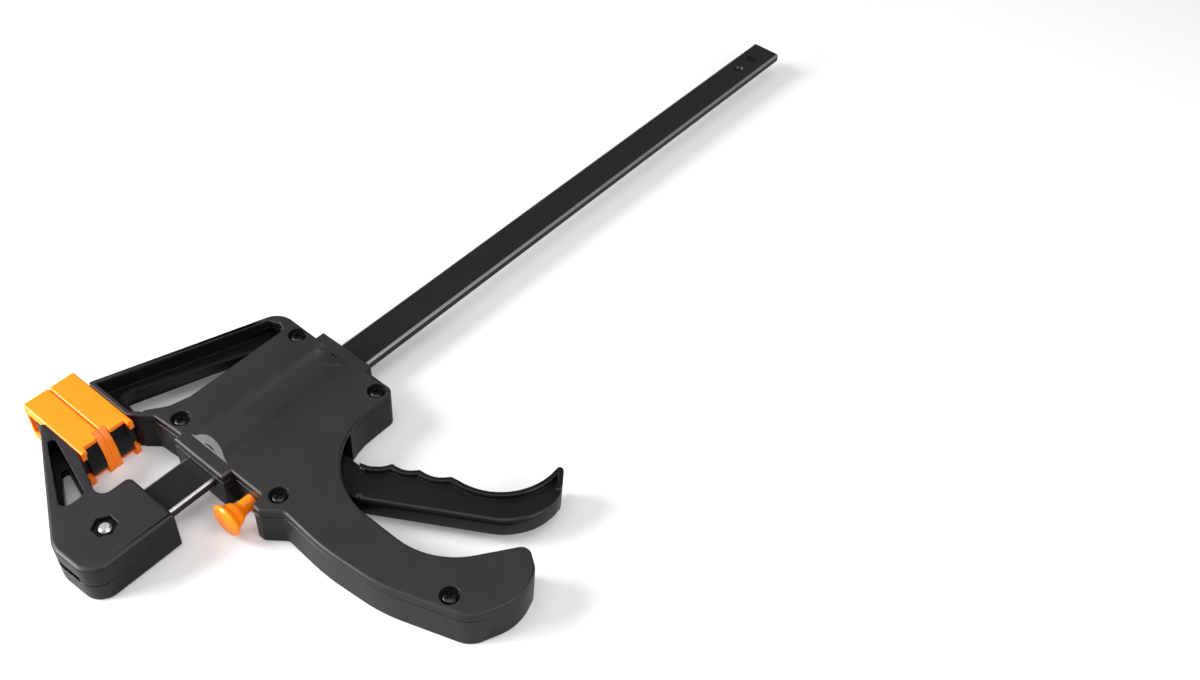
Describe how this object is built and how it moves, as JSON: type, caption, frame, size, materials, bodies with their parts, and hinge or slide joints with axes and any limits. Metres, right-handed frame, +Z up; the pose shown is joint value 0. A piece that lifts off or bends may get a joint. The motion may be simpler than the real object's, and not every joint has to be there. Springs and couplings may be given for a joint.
{
  "type": "quick release bar clamp",
  "caption": "One-handed bar clamp with padded jaws, a pistol grip with squeeze trigger, a release button and a long flat steel bar through its body.",
  "frame": {"origin": "on the plane the clamp lies on, under the bar's centreline, halfway along the body", "axes": "+X along the bar, away from the jaws; +Y across the bar towards the clamping pads; +Z up, out of the clamp's broad side"},
  "size_m": [0.4635, 0.2052, 0.024],
  "materials": {
    "black_nylon": "fine spark texture",
    "orange_soft": "smooth soft plastic",
    "orange_hard": "semi-gloss",
    "dark_steel": "dark phosphated, drawn along its length",
    "bright_steel": "zinc plated",
    "black_steel": "black oxide"
  },
  "bodies": {
    "body": {"housing": "black_nylon", "cover": "black_nylon", "cover_screws": "black_steel", "body_jaw_pad": "orange_soft", "trigger_pin": "bright_steel", "brake_pin": "bright_steel"},
    "slide": {"bar": "dark_steel", "bar_jaw": "black_nylon", "jaw_bolt": "bright_steel", "jaw_nut": "black_steel", "jaw_washer": "bright_steel", "bar_jaw_pad": "orange_soft"},
    "trigger": {"trigger": "black_nylon", "trigger_push_pin": "bright_steel"},
    "drive": {"drive_plate_front": "bright_steel", "drive_plate_rear": "bright_steel", "spring_seat": "bright_steel", "drive_spring": "bright_steel"},
    "brake": {"brake_plate": "bright_steel", "brake_spring": "bright_steel"},
    "button": {"release_button": "orange_hard"}
  },
  "joints": [
    {"name": "bar_slide", "type": "slide", "parent": "body", "child": "slide", "axis": [-1, 0, 0], "range_m": [0, 0.2935]},
    {"name": "trigger_pivot", "type": "hinge", "parent": "body", "child": "trigger", "pos_m": [-0.00475, -0.027, 0.01], "axis": [0, 0, -1], "range_deg": [0, 11], "stiffness_Nm_per_rad": 0.6, "springref_deg": -11.46},
    {"name": "drive_plates_slide", "type": "slide", "parent": "body", "child": "drive", "axis": [1, 0, 0], "range_m": [0, 0.0026], "deforming": ["drive_spring"]},
    {"name": "release_button_slide", "type": "slide", "parent": "body", "child": "button", "axis": [1, 0, 0], "range_m": [0, 0.004], "stiffness_N_per_m": 600, "springref_m": -0.003},
    {"name": "brake_hinge", "type": "hinge", "parent": "body", "child": "brake", "pos_m": [-0.0275, 0.013, 0.01], "axis": [0, 0, 1], "range_deg": [0, 6.2], "deforming": ["brake_spring"]}
  ],
  "couplings": [
    {"joint": "drive_plates_slide", "follows": "trigger_pivot", "m_per_rad": 0.0128},
    {"joint": "brake_hinge", "follows": "release_button_slide", "rad_per_m": 26.6}
  ]
}
